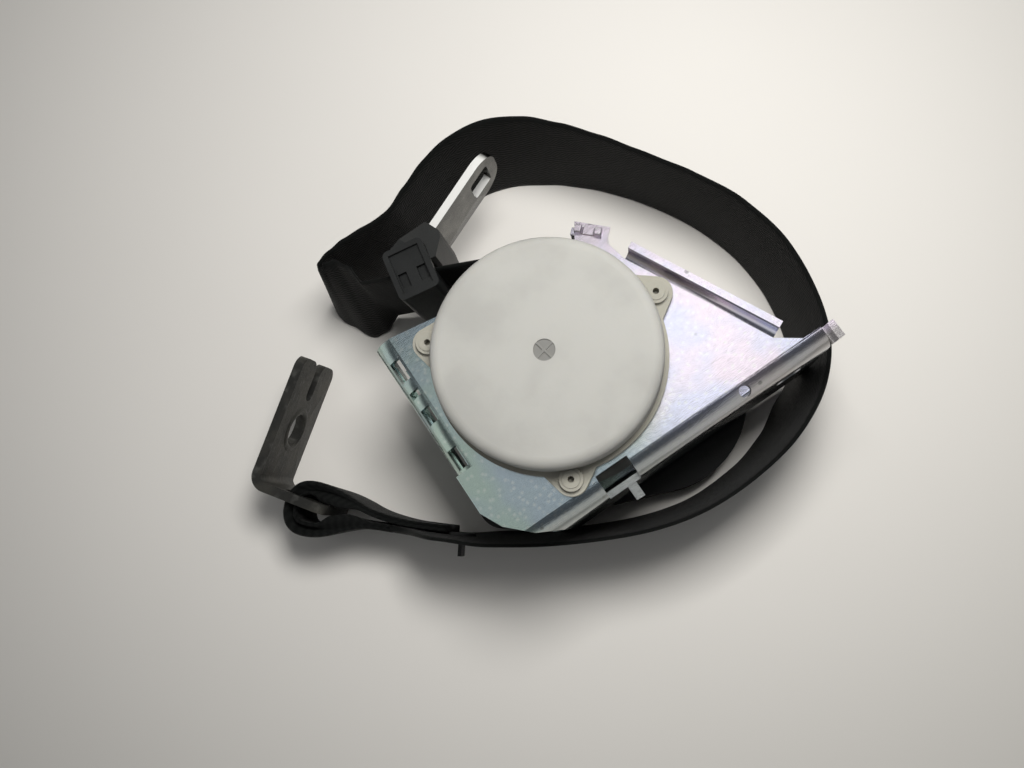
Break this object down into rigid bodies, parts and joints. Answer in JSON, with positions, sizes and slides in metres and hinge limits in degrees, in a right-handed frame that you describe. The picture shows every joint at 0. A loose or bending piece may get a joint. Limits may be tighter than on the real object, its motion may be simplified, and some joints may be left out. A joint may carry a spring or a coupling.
{
  "type": "seat belt retractor with webbing",
  "caption": "Inertia reel seat belt: folded steel frame, spring side cover, locking mechanism under the other side, webbing in a loop with latch tongue and forked lower anchor.",
  "frame": {"origin": "on the spool axis, at the flat face of the mechanism cover that the retractor stands on", "axes": "+Z along the spool axis towards the spring cover, +X along the frame's back wall towards its pointed end, -Y out of the back wall"},
  "size_m": [0.1833, 0.1408, 0.0829],
  "materials": {
    "zinc_steel": "zinc plated and passivated sheet, faint rainbow",
    "bright_steel": "bright nickel plate on pressed steel",
    "dark_steel": "dark phosphated plate with worn edges",
    "plain_steel": "turned or hardened steel",
    "spring_steel": "blued spring steel strip and wire",
    "webbing": "woven black webbing with selvedges",
    "black_plastic": "fine grained moulding",
    "cream_plastic": "off-white moulding, slightly translucent",
    "tan_plastic": "cream moulding",
    "natural_plastic": "natural acetal moulding"
  },
  "bodies": {
    "retractor": {"cover_screws": "plain_steel", "frame": "zinc_steel", "lower_bush": "natural_plastic", "mainspring": "spring_steel", "mechanism_cover": "black_plastic", "pawl_pin": "plain_steel", "pawl_spring": "spring_steel", "push_pins": "tan_plastic", "sensor_ball": "plain_steel", "sensor_housing": "black_plastic", "spring_base": "tan_plastic", "spring_cover": "cream_plastic", "stop_button": "black_plastic", "tie_bar": "zinc_steel", "upper_bush": "natural_plastic", "webbing_lead": "webbing", "webbing_loop": "webbing", "webbing_sewn_loop": "webbing"},
    "spool": {"spool": "natural_plastic", "torsion_bar": "plain_steel", "webbing_roll": "webbing", "ratchet_wheel": "plain_steel", "spring_arbor": "natural_plastic"},
    "control_disc": {"control_disc": "natural_plastic"},
    "locking_pawl": {"locking_pawl": "plain_steel"},
    "sensor_lever": {"sensor_lever": "natural_plastic"},
    "tongue": {"tongue_plate": "bright_steel", "tongue_grip": "black_plastic"},
    "anchor": {"anchor_plate": "dark_steel"}
  },
  "joints": [
    {"name": "spool_turn", "type": "hinge", "parent": "retractor", "child": "spool", "pos_m": [0, 0, 0.04125], "axis": [0, 0, 1], "continuous": true},
    {"name": "control_disc_lag", "type": "hinge", "parent": "spool", "child": "control_disc", "pos_m": [0, 0, 0.0045], "axis": [0, 0, 1], "range_deg": [0, 10]},
    {"name": "locking_pawl_swing", "type": "hinge", "parent": "retractor", "child": "locking_pawl", "pos_m": [-0.02155, -0.01454, 0.0081], "axis": [0, 0, 1], "range_deg": [0, 10]},
    {"name": "sensor_lever_tip", "type": "hinge", "parent": "retractor", "child": "sensor_lever", "pos_m": [0.0226, -0.0382, 0.0075], "axis": [0, 0, 1], "range_deg": [0, 4]},
    {"name": "tongue_slide", "type": "slide", "parent": "retractor", "child": "tongue", "axis": [-0.8205, 0.4875, -0.2986], "range_m": [-0.006, 0.011]},
    {"name": "anchor_swing", "type": "hinge", "parent": "retractor", "child": "anchor", "pos_m": [-0.09325, 0.01227, 0.015], "axis": [0, 0, 1], "range_deg": [-15, 15]}
  ]
}
